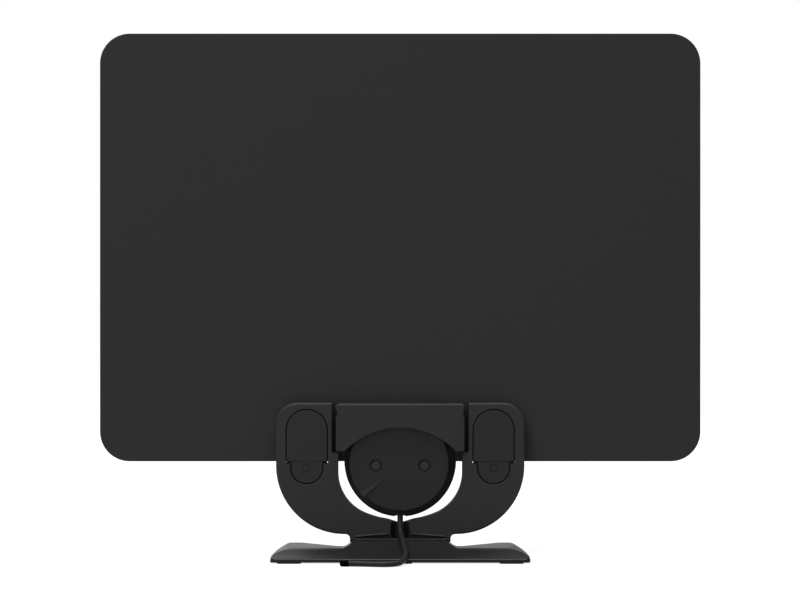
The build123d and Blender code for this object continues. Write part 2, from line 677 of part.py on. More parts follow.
def lever_spring():
    """A folded leaf between the recess's floor and the thumb tab."""
    floor_y = RECESS_FLOOR - SPRING_T / 2
    tab_y = LEVER_FRONT + SPRING_CLEARANCE + SPRING_T / 2
    top = HINGE_Z - BARREL_R
    foot = top - SPRING_LENGTH
    leaf = FilletPolyline((floor_y, top), (floor_y, foot), (tab_y, top - BARREL_R / 2), radius=SPRING_BEND_R)
    section = Plane((LEVER_X - SPRING_W / 2, 0, 0), x_dir=(0, 1, 0), z_dir=(1, 0, 0))
    return extrude(section * trace(leaf, line_width=SPRING_T), amount=SPRING_W)


# Base


def tip_arc():
    """The bowed right-hand tip of the base, seen from above."""
    rear_x = BASE_W / 2
    front_x = BASE_FRONT_W / 2
    middle_x = (rear_x + front_x) / 2 + BASE_TIP_BOW
    return ThreePointArc((rear_x, BASE_REAR), (middle_x, 0), (front_x, BASE_FRONT))


def plan_outline(inset):
    """The base seen from above: straight rear edge, bowed tips, swept wings and the hub between them."""
    rear_x = BASE_W / 2
    front_x = BASE_FRONT_W / 2
    inner_x = front_x - BASE_TIP_W
    root = (HUB_SWEEP_W / 2, BASE_REAR + HUB_SWEEP_BACK)
    hub_front = HUB_LIP_Y + HUB_DEPTH
    right_side = [
        Line((0, BASE_REAR), (rear_x, BASE_REAR)),
        tip_arc(),
        Line((front_x, BASE_FRONT), (inner_x, BASE_FRONT)),
        Line((inner_x, BASE_FRONT), root),
        Line(root, (root[0], hub_front)),
        Line((root[0], hub_front), (0, hub_front)),
        Line((0, hub_front), (0, BASE_REAR)),
    ]
    half = make_face(right_side)
    half = fillet(half.vertices().filter_by(lambda v: v.X > front_x - LINE_TOLERANCE), BASE_CORNER_R)
    half = fillet(half.vertices().sort_by_distance((inner_x, BASE_FRONT))[0], BASE_TIP_R)
    sweep = Vector(inner_x - root[0], BASE_FRONT - root[1])
    half_turn = radians(sweep.get_angle(Vector(0, 1)) / 2)
    root_r = min(SWEEP_ROOT_R, (hub_front - root[1] - BASE_WALL / 2) * tan(half_turn))
    half = fillet(half.vertices().sort_by_distance(root)[0], root_r)
    face = half + mirror(half, about=Plane.YZ)
    return offset(face, -inset) if inset else face


def slope_outline():
    """The base seen from its end: rim, hollow rear slope, a small step and the hub's flat top."""
    rim = Vector(BASE_REAR, RIM_Z)
    step = Vector(HUB_LIP_Y, HUB_Z - HUB_LIP_H)
    lip = Vector(HUB_LIP_Y, HUB_Z)
    chord = step - rim
    down = Vector(chord.Y, -chord.X).normalized()
    far_top = Vector(BASE_FRONT, HUB_Z)
    far_low = Vector(BASE_FRONT, -HUB_Z)
    low = Vector(BASE_REAR, -HUB_Z)
    wires = [
        ThreePointArc(rim, (rim + step) / 2 + down * REAR_SAG, step),
        Polyline(step, lip, far_top, far_low, low, rim),
    ]
    face = make_face(wires)
    return fillet(face.vertices().sort_by_distance(lip)[0], HUB_LIP_R)


def wing_outline():
    """The same slope cut by the wings' falling top, with a rounded crest."""
    rear_z = WING_Z + WING_FALL * CREST_BACK
    front_z = WING_Z - WING_FALL * (BASE_FRONT - CREST_Y)
    below = polygon([(BASE_REAR, -HUB_Z), (BASE_REAR, rear_z), (BASE_FRONT, front_z), (BASE_FRONT, -HUB_Z)])
    face = slope_outline() & below
    crest = face.vertices().sort_by(Axis.Y)[-1]
    return fillet(crest, CREST_R)


def wings(inset):
    """Both wings as one piece across the base."""
    end = Plane((-BASE_W, 0, -inset), x_dir=(0, 1, 0), z_dir=(1, 0, 0))
    return extrude(end * wing_outline(), amount=2 * BASE_W) & plan_solid(inset)


def tip_round(inset):
    """What is cut off above the right-hand tip, so that its top falls to the rim in a quarter ellipse."""
    path = tip_arc()
    foot = BASE_Z + TIP_ROUND_FOOT - inset
    start = inset - TIP_ROUND_LEAD
    inner = start + TIP_ROUND_W
    rise = WING_Z - BASE_Z - TIP_ROUND_FOOT
    wires = [
        EllipticalCenterArc((inner, 0), TIP_ROUND_W, rise, start_angle=90, arc_size=90),
        Polyline((start, 0), (-TIP_ROUND_W, 0), (-TIP_ROUND_W, HUB_Z), (inner, HUB_Z), (inner, rise)),
    ]
    inwards = (path % 0).cross(Vector(0, 0, -1))
    section = Plane((path @ 0) + Vector(0, 0, foot), x_dir=inwards, z_dir=path % 0)
    return sweep(section * make_face(wires), path=path)


def plan_solid(inset):
    return extrude(Pos(0, 0, BASE_Z) * plan_outline(inset), amount=HUB_Z)


def hub(inset):
    """The raised middle, whose sides flare into the wings' falling top."""
    hub_x = HUB_W / 2
    floor = WING_Z - FLARE_TUCK
    level = floor + HUB_FLARE_R  # of the flare's centre
    flare_x = hub_x + sqrt(HUB_FLARE_R**2 - (level - HUB_Z) ** 2)
    middle_x = (hub_x + flare_x) / 2
    middle = (middle_x, level - sqrt(HUB_FLARE_R**2 - (flare_x - middle_x) ** 2))
    top = HUB_Z + HUB_FLARE_R
    wires = [
        ThreePointArc((hub_x, HUB_Z), middle, (flare_x, floor)),
        Polyline((flare_x, floor), (flare_x, -HUB_Z), (0, -HUB_Z), (0, top), (hub_x, top), (hub_x, HUB_Z)),
    ]
    half = make_face(wires)
    rear = (BASE_REAR + CREST_Y) / 2
    view = Plane((0, rear, WING_FALL * (CREST_Y - rear) - inset), x_dir=(1, 0, 0), z_dir=(0, -1, 0))
    outline = view * (half + mirror(half, about=Plane.YZ))
    flared = extrude(outline, amount=BASE_DEPTH, dir=(0, 1, -WING_FALL))
    end = Plane((-BASE_W, 0, -inset), x_dir=(0, 1, 0), z_dir=(1, 0, 0))
    return flared & extrude(end * slope_outline(), amount=2 * BASE_W) & plan_solid(inset)


def base_solid():
    """Wings with rounded upper edges, and the hub on them."""
    body = wings(0)
    low = BASE_Z + LINE_TOLERANCE
    raised = body.edges().filter_by(Axis.Z, reverse=True).filter_by(lambda e: (e @ 0.5).Z > low)
    side_x = HUB_SWEEP_W / 2 + SWEEP_ROOT_R
    rear_y = BASE_REAR + WING_EDGE_R
    outer = raised.filter_by(lambda e: abs((e @ 0.5).X) > side_x or (e @ 0.5).Y < rear_y)
    body = fillet(outer, WING_EDGE_R) - tip_round(0) - left_of(tip_round(0))
    return body + hub(0)


def foot_places():
    """Names and middles of the five rubber feet."""
    rear_x = BASE_W / 2 - FOOT_PAD_SIDE_INSET
    rear_y = BASE_REAR + FOOT_PAD_REAR_INSET
    front_x = BASE_FRONT_W / 2 - FOOT_PAD_TIP_SIDE_INSET
    front_y = BASE_FRONT - FOOT_PAD_TIP_INSET
    return {
        "rubber_foot_rear_left": (-rear_x, rear_y),
        "rubber_foot_rear_middle": (0, rear_y),
        "rubber_foot_rear_right": (rear_x, rear_y),
        "rubber_foot_front_left": (-front_x, front_y),
        "rubber_foot_front_right": (front_x, front_y),
    }


def rubber_foot(x, y):
    return extrude(Pos(x, y, 0) * RectangleRounded(FOOT_PAD_W, FOOT_PAD_D, FOOT_PAD_R), amount=FOOT_PAD_T)


def base_shell():
    """A moulded shell, open below, with ribs, a block over each foot and two tongues for the bracket."""
    solid = base_solid()
    hollow_tip = tip_round(BASE_WALL)
    shell = solid - (wings(BASE_WALL) - hollow_tip - left_of(hollow_tip)) - hub(BASE_WALL)
    for x in RIB_X:
        for side in (-x, x):
            rib = block(side - RIB_T / 2, side + RIB_T / 2, BASE_REAR, BASE_FRONT, BASE_Z, HUB_Z)
            shell += solid & rib
    for x, y in foot_places().values():
        over_w = FOOT_PAD_W / 2 + BASE_WALL
        over_d = FOOT_PAD_D / 2 + BASE_WALL
        over = block(x - over_w, x + over_w, y - over_d, y + over_d, BASE_Z, HUB_Z)
        shell += solid & over
        shell -= rubber_foot(x, y)
    right_tongue = tongue(0)
    return shell + right_tongue + left_of(right_tongue)


# Lead and its socket


def cable_radii():
    """Each arc is as large as its two runs allow."""
    points = [Vector(*p) for p in CABLE_POINTS]
    radii = []
    for before, here, after in zip(points, points[1:], points[2:]):
        turn = (here - before).get_angle(after - here)
        shorter = min((here - before).length, (after - here).length)
        radii.append(CABLE_BEND_SHARE * shorter / tan(radians(turn / 2)))
    return radii


def cable_path():
    return FilletPolyline(*CABLE_POINTS, radius=cable_radii())


def cable():
    path = cable_path()
    section = Plane(path @ 0, z_dir=path % 0) * Circle(CABLE_R)
    return sweep(section, path=path)


def socket_plane(offset_along):
    """A plane across the lead's free end, its normal pointing out of the socket's mouth."""
    path = cable_path()
    out = path % 1
    return Plane((path @ 1) + out * offset_along, z_dir=out)


def socket_rod(radius, start, length):
    return extrude(socket_plane(start) * Circle(radius), amount=length)


def socket_shell():
    body = socket_rod(SOCKET_R, 0, SOCKET_LENGTH)
    rims = body.edges().filter_by(GeomType.CIRCLE).sort_by_distance(cable_path() @ 1)
    body = fillet(rims[-1], SOCKET_EDGE_R)
    return body - socket_rod(SOCKET_BORE_R, SOCKET_LENGTH - SOCKET_BORE_DEPTH, SOCKET_BORE_DEPTH)


def socket_insulator():
    start = SOCKET_LENGTH - SOCKET_BORE_DEPTH
    return socket_rod(SOCKET_BORE_R, start, INSULATOR_T) - socket_rod(CONTACT_R, start, INSULATOR_T)


def socket_contact():
    return socket_rod(CONTACT_R, SOCKET_LENGTH - SOCKET_BORE_DEPTH, CONTACT_LENGTH)


def all_pieces():
    """Every piece by its node's name."""
    pieces = {
        "rear_sheet": rear_sheet(),
        "front_sheet": front_sheet(),
        "module_housing": module_housing(),
        "reel_core": reel_core(),
        "reel_disc": reel_disc(),
        "circuit_board": circuit_board(),
        "balun_core": balun_core(),
        "strain_relief": strain_relief(),
        "stand_bracket": stand_bracket(),
        "base_shell": base_shell(),
        "cable": cable(),
        "socket_shell": socket_shell(),
        "socket_insulator": socket_insulator(),
        "socket_contact": socket_contact(),
    }
    paired = {
        "element_foil": element_foil(),
        "feed_strip": feed_strip(),
        "push_rivet": push_rivet(),
        "clip_lever": clip_lever(),
        "hinge_pin": hinge_pin(),
        "lever_spring": lever_spring(),
    }
    for name, piece in paired.items():
        pieces[name + "_right"] = piece
        pieces[name + "_left"] = left_of(piece)
    for name, (x, y) in foot_places().items():
        pieces[name] = rubber_foot(x, y)
    return pieces


def main():
    os.makedirs("parts", exist_ok=True)
    for name, piece in all_pieces().items():
        piece.label = name
        export_step(piece, f"parts/{name}.step")
    print("cable radii", [round(r, 1) for r in cable_radii()])
    length = cable_path().length
    print("cable length", round(length, 1))


main()
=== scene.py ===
# %% [markdown]
# # A flat indoor TV antenna on its table stand
# The rigid pieces come ready-made from the CAD model: panel, housing, reel, bracket, levers and base.
# This lesson dresses them. It sets the camera, lays the lead, gives each moulding its finish,
# models the small fittings by hand and lights the whole on a pale floor.

import json
import math

import bpy
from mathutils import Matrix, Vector


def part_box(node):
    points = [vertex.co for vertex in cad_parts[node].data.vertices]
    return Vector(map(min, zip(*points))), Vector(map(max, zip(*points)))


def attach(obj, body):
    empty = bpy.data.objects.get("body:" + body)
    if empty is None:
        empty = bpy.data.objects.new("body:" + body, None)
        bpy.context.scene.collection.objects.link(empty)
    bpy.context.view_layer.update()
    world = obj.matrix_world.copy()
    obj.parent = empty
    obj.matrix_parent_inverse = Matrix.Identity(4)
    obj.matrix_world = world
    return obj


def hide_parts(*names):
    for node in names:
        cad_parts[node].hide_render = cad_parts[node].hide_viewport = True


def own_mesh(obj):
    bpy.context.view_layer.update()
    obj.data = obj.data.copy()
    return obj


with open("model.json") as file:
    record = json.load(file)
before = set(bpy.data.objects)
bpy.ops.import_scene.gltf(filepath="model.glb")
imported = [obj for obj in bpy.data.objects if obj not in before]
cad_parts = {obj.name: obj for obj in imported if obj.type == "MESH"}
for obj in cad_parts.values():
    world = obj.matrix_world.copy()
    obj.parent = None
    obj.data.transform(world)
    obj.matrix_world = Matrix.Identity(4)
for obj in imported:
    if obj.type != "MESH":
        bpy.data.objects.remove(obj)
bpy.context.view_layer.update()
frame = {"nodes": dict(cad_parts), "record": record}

# %% [markdown]
# ## Camera
# The antenna is seen straight from the rear, a little above the table, with hardly any perspective.
# A long lens a good metre away gives that. The lens follows from the width that the picture spans
# at the panel: 400 mm at 1.2 m.

# %% Camera
PICTURE_WIDTH = 0.400
CAMERA_DISTANCE = 1.200
PANEL_PLANE = 0.003
CAMERA_SIDE = -0.0001
CAMERA_HEIGHT = 0.1276
SENSOR_WIDTH_MM = 36.0

camera_data = bpy.data.cameras.new("camera")
camera_data.sensor_width = SENSOR_WIDTH_MM
camera_data.lens = SENSOR_WIDTH_MM * CAMERA_DISTANCE / PICTURE_WIDTH
camera = bpy.data.objects.new("camera", camera_data)
bpy.context.scene.collection.objects.link(camera)
camera.location = (CAMERA_SIDE, PANEL_PLANE - CAMERA_DISTANCE, CAMERA_HEIGHT)
camera.rotation_euler = (math.radians(90), 0, 0)
bpy.context.scene.camera = camera
print("lens", round(camera_data.lens, 1), "mm")

# %% [markdown]
# ## Lead
# A thin coax lead leaves the nozzle under the reel, runs down the base's rear slope and turns left on
# the table. A NURBS curve passes smoothly near its control points, as a limp lead lies, and a bevel
# gives it its thickness. A curve's box reaches out by its points' radius, so the lead's own radius is
# written on the points and the bevel is one. The points are those of the route in the CAD model, in metres.

# %% Lead
LEAD_DIAMETER = 0.0028
lead_points = [
    (0.0, -0.0054, 0.0146),
    (0.0, -0.0066, 0.0119),
    (0.0008, -0.0115, 0.0105),
    (0.0018, -0.0195, 0.0077),
    (0.0028, -0.0304, 0.0053),
    (0.0024, -0.0415, 0.0037),
    (0.0004, -0.0492, 0.0017),
    (-0.0056, -0.0524, 0.0015),
    (-0.0134, -0.0510, 0.0015),
    (-0.0196, -0.0494, 0.0015),
    (-0.0246, -0.0490, 0.0015),
]
lead_curve = bpy.data.curves.new("coax_lead", "CURVE")
lead_curve.dimensions = "3D"
spline = lead_curve.splines.new("NURBS")
spline.points.add(len(lead_points) - 1)
for point, place in zip(spline.points, lead_points):
    point.co = (*place, 1.0)
    point.radius = LEAD_DIAMETER / 2
spline.order_u = 3
spline.use_endpoint_u = True
lead_curve.resolution_u = 16
lead_curve.bevel_depth = 1.0
lead_curve.bevel_resolution = 6
lead = bpy.data.objects.new("coax_lead", lead_curve)
bpy.context.scene.collection.objects.link(lead)
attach(lead, "stand")
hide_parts("cable")
print("lead points", len(lead_points), "length", round(spline.calc_length(), 4))

# %% [markdown]
# ## Boot at the nozzle's mouth
# A black rubber boot closes the nozzle round the lead. It starts as an upright cylinder. Cuts across it give
# loops to pull in, which makes two bending grooves; the caps are inset to the lead's thickness and bridged,
# so that the boot becomes a tube; its end rims are bevelled. The mesh is then leaned along the lead's first
# run, and the object itself stays at the origin. Rounding the rims is a function, since the pin stops need it too.

# %% Boot
BOOT_RADIUS = 0.00158
BOOT_LENGTH = 0.0017
BOOT_SIDES = 48
GROOVE_WIDTH = 0.00022
GROOVE_SHARE = 0.93
RIM_ROUNDING = 0.00008
RIM_ANGLE = math.radians(60)
SMOOTH_ANGLE = math.radians(40)


def round_rims(piece, segments):
    """Bevels the sharp rims of the active piece and smooths its faces."""
    rims = piece.modifiers.new("rims", "BEVEL")
    rims.width = RIM_ROUNDING
    rims.segments = segments
    rims.limit_method = "ANGLE"
    rims.angle_limit = RIM_ANGLE
    bpy.ops.object.modifier_apply(modifier="rims")
    bpy.ops.object.shade_smooth_by_angle(angle=SMOOTH_ANGLE)


lead_start = Vector(lead_points[0])
first_run = Vector(lead_points[1]) - lead_start
bpy.ops.object.select_all(action="DESELECT")
bpy.ops.mesh.primitive_cylinder_add(vertices=BOOT_SIDES, radius=BOOT_RADIUS, depth=BOOT_LENGTH)
boot = bpy.context.object
boot.name = "lead_boot"
bpy.ops.object.mode_set(mode="EDIT")
bpy.ops.mesh.select_mode(type="VERT")
for groove_z in (-BOOT_LENGTH / 6, BOOT_LENGTH / 6):
    for offset in (-GROOVE_WIDTH, GROOVE_WIDTH, 0.0):
        bpy.ops.mesh.select_all(action="SELECT")
        bpy.ops.mesh.bisect(plane_co=(0, 0, groove_z + offset), plane_no=(0, 0, 1))
    bpy.ops.transform.resize(value=(GROOVE_SHARE, GROOVE_SHARE, 1))
bpy.ops.mesh.select_mode(type="FACE")
bpy.ops.mesh.select_all(action="DESELECT")
bpy.ops.mesh.select_face_by_sides(number=4, type="GREATER")
bpy.ops.mesh.inset(thickness=BOOT_RADIUS - LEAD_DIAMETER / 2)
bpy.ops.mesh.bridge_edge_loops()
bpy.ops.mesh.select_all(action="SELECT")
bpy.ops.mesh.normals_make_consistent(inside=False)
lean = first_run.angle(Vector((0, 0, -1)))
bpy.ops.transform.rotate(value=-lean, orient_axis="X", center_override=(0, 0, 0))
bpy.ops.transform.translate(value=lead_start + first_run.normalized() * BOOT_LENGTH / 2)
bpy.ops.object.mode_set(mode="OBJECT")
round_rims(boot, 2)
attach(boot, "stand")
print("boot faces", len(boot.data.polygons))

# %% [markdown]
# ## Stops at the hinge pins' ends
# Each clip lever turns on a pin between two ears. A small half-round stop on the notch's floor keeps the pin
# from sliding out, and leaves only a narrow slit of light beside it. The first one starts as a cylinder that
# is laid along the pin, cut flat where it stands on the floor and rounded along its rims. The other three are
# duplicates with their own mesh, and each mesh is moved to its pin's end.

# %% Pin stops
STOP_RADIUS = 0.0012
STOP_LENGTH = 0.00066
STOP_SIDES = 48
FLOOR_BELOW_AXIS = 0.0001

pin_low, pin_high = (Vector(corner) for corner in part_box("hinge_pin_left"))
pin_middle = (pin_low + pin_high) / 2
bpy.ops.object.select_all(action="DESELECT")
bpy.ops.mesh.primitive_cylinder_add(vertices=STOP_SIDES, radius=STOP_RADIUS, depth=STOP_LENGTH)
first_stop = bpy.context.object
bpy.ops.object.mode_set(mode="EDIT")
bpy.ops.mesh.select_all(action="SELECT")
bpy.ops.transform.rotate(value=math.radians(90), orient_axis="Y", center_override=(0, 0, 0))
cut = {"plane_co": (0, 0, -FLOOR_BELOW_AXIS), "plane_no": (0, 0, 1), "use_fill": True, "clear_inner": True}
bpy.ops.mesh.bisect(**cut)
bpy.ops.mesh.select_all(action="SELECT")
bpy.ops.mesh.normals_make_consistent(inside=False)
bpy.ops.transform.translate(value=(0, pin_middle.y, pin_middle.z))
bpy.ops.object.mode_set(mode="OBJECT")
round_rims(first_stop, 3)

outer_x = pin_low.x - STOP_LENGTH / 2
inner_x = pin_high.x + STOP_LENGTH / 2
stop_places = {"left_outer": outer_x, "left_inner": inner_x, "right_inner": -inner_x, "right_outer": -outer_x}
pin_stops = []
for name, x in stop_places.items():
    bpy.ops.object.select_all(action="DESELECT")
    first_stop.select_set(True)
    bpy.context.view_layer.objects.active = first_stop
    bpy.ops.object.duplicate()
    stop = bpy.context.object
    stop.name = "pin_stop_" + name
    bpy.ops.object.mode_set(mode="EDIT")
    bpy.ops.mesh.select_all(action="SELECT")
    bpy.ops.transform.translate(value=(x, 0, 0))
    bpy.ops.object.mode_set(mode="OBJECT")
    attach(stop, "stand")
    pin_stops.append(stop)
bpy.data.objects.remove(first_stop)
print("pin stops", len(pin_stops), "faces each", len(pin_stops[0].data.polygons))

# %% [markdown]
# ## Leaf springs behind the thumb tabs
# A folded steel leaf pushes each thumb tab out, and flattens when the tab is pressed. The solid from the CAD
# model can't flatten, so it is replaced by a leaf of the same size. A plane stands against the recess's floor,
# its lower edge is extruded out to the tab, the tip is turned in so that it doesn't dig, and the fold is
# bevelled round. Solidify gives the sheet its thickness.

# %% Leaf springs
LEAF_THICKNESS = 0.0003
LEAF_FOLD = 0.0007
LEAF_TIP = 0.0005
LEAF_TAB_DROP = 0.00095
FOLD_SEGMENTS = 8
TIP_SEGMENTS = 5
NEAR = 1e-6

leaf_low, leaf_high = (Vector(corner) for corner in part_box("lever_spring_left"))
leaf_middle = (leaf_low + leaf_high) / 2
leaf_size = leaf_high - leaf_low
floor_y = leaf_high.y - LEAF_THICKNESS / 2
tab_y = leaf_low.y + LEAF_THICKNESS / 2
fold_z = leaf_low.z + LEAF_THICKNESS / 2
tip_z = leaf_high.z - LEAF_TAB_DROP


def select_edges(piece, is_wanted):
    """Selects the edges whose two ends pass a test on their place."""
    bpy.ops.mesh.select_mode(type="EDGE")
    bpy.ops.mesh.select_all(action="DESELECT")
    bpy.ops.object.mode_set(mode="OBJECT")
    places = [vertex.co for vertex in piece.data.vertices]
    for edge in piece.data.edges:
        edge.select = all(is_wanted(places[end]) for end in edge.vertices)
    bpy.ops.object.mode_set(mode="EDIT")


def extrude_edge(step):
    bpy.ops.mesh.extrude_region_move(TRANSFORM_OT_translate={"value": step})


bpy.ops.object.select_all(action="DESELECT")
bpy.ops.mesh.primitive_plane_add(size=1.0)
leaf = bpy.context.object
bpy.ops.object.mode_set(mode="EDIT")
bpy.ops.mesh.select_all(action="SELECT")
bpy.ops.transform.rotate(value=math.radians(90), orient_axis="X", center_override=(0, 0, 0))
bpy.ops.transform.resize(value=(leaf_size.x, 1, leaf_high.z - fold_z), center_override=(0, 0, 0))
bpy.ops.transform.translate(value=(leaf_middle.x, floor_y, (leaf_high.z + fold_z) / 2))
select_edges(leaf, lambda place: abs(place.z - fold_z) < NEAR)
extrude_edge((0, tab_y - floor_y, tip_z - fold_z))
extrude_edge((0, LEAF_TIP, LEAF_TIP))
select_edges(leaf, lambda place: abs(place.z - fold_z) < NEAR)
bpy.ops.mesh.bevel(offset=LEAF_FOLD, segments=FOLD_SEGMENTS)
select_edges(leaf, lambda place: abs(place.z - tip_z) < NEAR and abs(place.y - tab_y) < NEAR)
bpy.ops.mesh.bevel(offset=LEAF_TIP / 2, segments=TIP_SEGMENTS)
bpy.ops.object.mode_set(mode="OBJECT")
sheet = leaf.modifiers.new("sheet", "SOLIDIFY")
sheet.thickness = LEAF_THICKNESS
sheet.offset = 0.0
bpy.ops.object.modifier_apply(modifier="sheet")
bpy.ops.object.shade_smooth_by_angle(angle=SMOOTH_ANGLE)
leaf.name = "spring_leaf_left"
bpy.ops.object.duplicate()
right_leaf = bpy.context.object
right_leaf.name = "spring_leaf_right"
bpy.ops.object.mode_set(mode="EDIT")
bpy.ops.mesh.select_all(action="SELECT")
bpy.ops.transform.translate(value=(-2 * leaf_middle.x, 0, 0))
bpy.ops.object.mode_set(mode="OBJECT")
leaves = {"left": leaf, "right": right_leaf}
for side, piece in leaves.items():
    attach(piece, "stand")
    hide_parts("lever_spring_" + side)
    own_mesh(piece)
print("leaves", len(leaves), "faces each", len(leaf.data.polygons))

# %% [markdown]
# ## Shader sums
# A finish is easier to read when its sums look like sums. The small class below wraps a node's output,
# so that `noise * 0.1 + 0.4` adds the Math nodes by itself. Any other node comes from `Finish.node`.

# %% Shader helpers
class Value:
    """A node's output that can be used in sums."""

    def __init__(self, finish, socket):
        self.finish = finish
        self.socket = socket

    def _maths(self, operation, first, second):
        return self.finish.node("ShaderNodeMath", {"operation": operation}, {0: first, 1: second})

    def __add__(self, other):
        return self._maths("ADD", self, other)

    def __radd__(self, other):
        return self._maths("ADD", other, self)

    def __sub__(self, other):
        return self._maths("SUBTRACT", self, other)

    def __rsub__(self, other):
        return self._maths("SUBTRACT", other, self)

    def __mul__(self, other):
        return self._maths("MULTIPLY", self, other)

    def __rmul__(self, other):
        return self._maths("MULTIPLY", other, self)


class Finish:
    """A material or a world, with its one shader and a plain way to add nodes."""

    def __init__(self, owner, shader):
        self.owner = owner
        owner.use_nodes = True
        self.tree = owner.node_tree
        self.shader = self.tree.nodes[shader]

    @classmethod
    def material(cls, name):
        return cls(bpy.data.materials.new(name), "Principled BSDF")

    def node(self, kind, settings=None, inputs=None, output=0):
        made = self.tree.nodes.new(kind)
        for name, value in (settings or {}).items():
            setattr(made, name, value)
        for name, value in (inputs or {}).items():
            self.feed(made.inputs[name], value)
        return Value(self, made.outputs[output])

    def feed(self, socket, value):
        if isinstance(value, Value):
            self.tree.links.new(value.socket, socket)
        else:
            socket.default_value = value

    def set(self, **inputs):
        for name, value in inputs.items():
            self.feed(self.shader.inputs[name.replace("_", " ")], value)

    def place(self):
        return self.node("ShaderNodeTexCoord", output="Object")

    def noise(self, scale, detail=2.0):
        return self.node("ShaderNodeTexNoise", None, {"Vector": self.place(), "Scale": scale, "Detail": detail})

    def blend(self, factor, first, second):
        """Mixes two colours."""
        return self.node("ShaderNodeMix", {"data_type": "RGBA"}, {0: factor, 6: first, 7: second}, output=2)

    def bump(self, height, distance, strength=1.0):
        inputs = {"Height": height, "Distance": distance, "Strength": strength}
        return self.node("ShaderNodeBump", None, inputs)


def grey(level):
    """A neutral colour from its sRGB level, 0 to 255."""
    linear = ((level / 255 + 0.055) / 1.055) ** 2.4
    return (linear, linear, linear, 1.0)


print("helpers ready")

# %% [markdown]
# ## Moulded plastic
# Every moulding here is dark grey plastic from a spark-eroded tool, so it has a fine matt grain,
# a slight cloudiness where the melt flowed, and a soft sheen. One function makes the family:
# grain goes into a bump, cloudiness into colour and roughness.

# %% Moulded plastic
SHEEN = 0.15
CLOUD_SCALE = 55.0
GRAIN_SHARE = 0.3


def moulded_plastic(name, level, roughness, grain_size, grain_depth, cloud=0.06):
    finish = Finish.material(name)
    clouds = finish.noise(CLOUD_SCALE, 3.0)
    grain = finish.noise(1.0 / grain_size, 2.0)
    dark = grey(level * (1 - cloud))
    light = grey(level * (1 + cloud))
    speckle = clouds * (1 - GRAIN_SHARE) + grain * GRAIN_SHARE
    finish.set(Base_Color=finish.blend(speckle, dark, light))
    finish.set(Roughness=clouds * 0.08 + grain * 0.06 + (roughness - 0.07))
    finish.set(Normal=finish.bump(grain, grain_depth), Specular_IOR_Level=SHEEN)
    return finish.owner


panel_finish = moulded_plastic("panel_matt_sheet", 44, 0.55, 0.00045, 0.00002, 0.015)
housing_finish = moulded_plastic("housing_satin", 45, 0.48, 0.00040, 0.00002)
reel_finish = moulded_plastic("reel_satin", 37, 0.48, 0.00040, 0.00002)
rivet_finish = moulded_plastic("rivet_satin", 48, 0.42, 0.00035, 0.00001)
bracket_finish = moulded_plastic("bracket_satin", 46, 0.50, 0.00042, 0.00002)
lever_finish = moulded_plastic("lever_satin", 41, 0.50, 0.00042, 0.00002)
base_finish = moulded_plastic("base_satin", 27, 0.36, 0.00042, 0.000008)
print("plastics ready")

# %% [markdown]
# ## Rubber, metals, board and jacket
# What is left is small: rubber feet, steel pins and springs, foil and strips inside, and the lead with
# its socket. Each gets its own grain: scratches along drawn steel, a weave in the board, a slight
# waviness in the extruded jacket.

# %% Small finishes
def rubber(name, level):
    finish = Finish.material(name)
    dust = finish.noise(900.0, 3.0)
    finish.set(Base_Color=finish.blend(dust, grey(level * 0.85), grey(level * 1.15)))
    finish.set(Roughness=dust * 0.15 + 0.72)
    finish.set(Normal=finish.bump(dust, 0.00003), Specular_IOR_Level=SHEEN)
    return finish.owner


def metal(name, colour, roughness, stretch):
    """Metal with fine lines along x, as from drawing or rolling."""
    finish = Finish.material(name)
    lines = finish.node("ShaderNodeMapping", None, {"Vector": finish.place(), "Scale": stretch})
    streaks = finish.node("ShaderNodeTexNoise", None, {"Vector": lines, "Scale": 1.0, "Detail": 3.0})
    darker = tuple(c * 0.8 for c in colour[:3]) + (1.0,)
    finish.set(Base_Color=finish.blend(streaks, darker, colour), Metallic=1.0)
    finish.set(Roughness=streaks * 0.15 + (roughness - 0.07))
    finish.set(Normal=finish.bump(streaks, 0.000004))
    return finish.owner


def jacket(name, level, roughness, sheen):
    finish = Finish.material(name)
    waves = finish.noise(420.0, 2.0)
    finish.set(Base_Color=finish.blend(waves, grey(level * 0.9), grey(level * 1.1)))
    finish.set(Roughness=waves * 0.1 + roughness)
    finish.set(Normal=finish.bump(waves, 0.00002), Specular_IOR_Level=sheen)
    return finish.owner


def laminate(name):
    finish = Finish.material(name)
    weave = finish.node("ShaderNodeTexChecker", None, {"Vector": finish.place(), "Scale": 2200.0}, output="Fac")
    finish.set(Base_Color=finish.blend(weave, (0.012, 0.075, 0.03, 1), (0.018, 0.1, 0.04, 1)))
    finish.set(Roughness=weave * 0.05 + 0.35)
    return finish.owner


finishes = {
    "panel_plastic": panel_finish,
    "housing_plastic": housing_finish,
    "reel_plastic": reel_finish,
    "rivet_plastic": rivet_finish,
    "bracket_plastic": bracket_finish,
    "lever_plastic": lever_finish,
    "base_plastic": base_finish,
    "foot_rubber": rubber("foot_rubber", 28),
    "foil_aluminium": metal("rolled_foil", (0.86, 0.86, 0.87, 1), 0.25, (60, 4000, 4000)),
    "strip_brass": metal("tinned_strip", (0.72, 0.66, 0.5, 1), 0.3, (60, 4000, 4000)),
    "board_laminate": laminate("board_laminate"),
    "ferrite": rubber("sintered_ferrite", 40),
    "pin_steel": metal("blackened_steel", (0.06, 0.06, 0.065, 1), 0.4, (60, 5000, 5000)),
    "spring_steel": metal("rolled_steel", (0.5, 0.5, 0.52, 1), 0.32, (5000, 60, 60)),
    "cable_jacket": jacket("lead_jacket", 30, 0.40, SHEEN),
    "socket_metal": jacket("blackened_shell", 3, 0.85, 0.0),
    "socket_insulator": rubber("white_polymer", 215),
    "contact_metal": metal("gold_plate", (0.8, 0.58, 0.22, 1), 0.2, (60, 5000, 5000)),
}
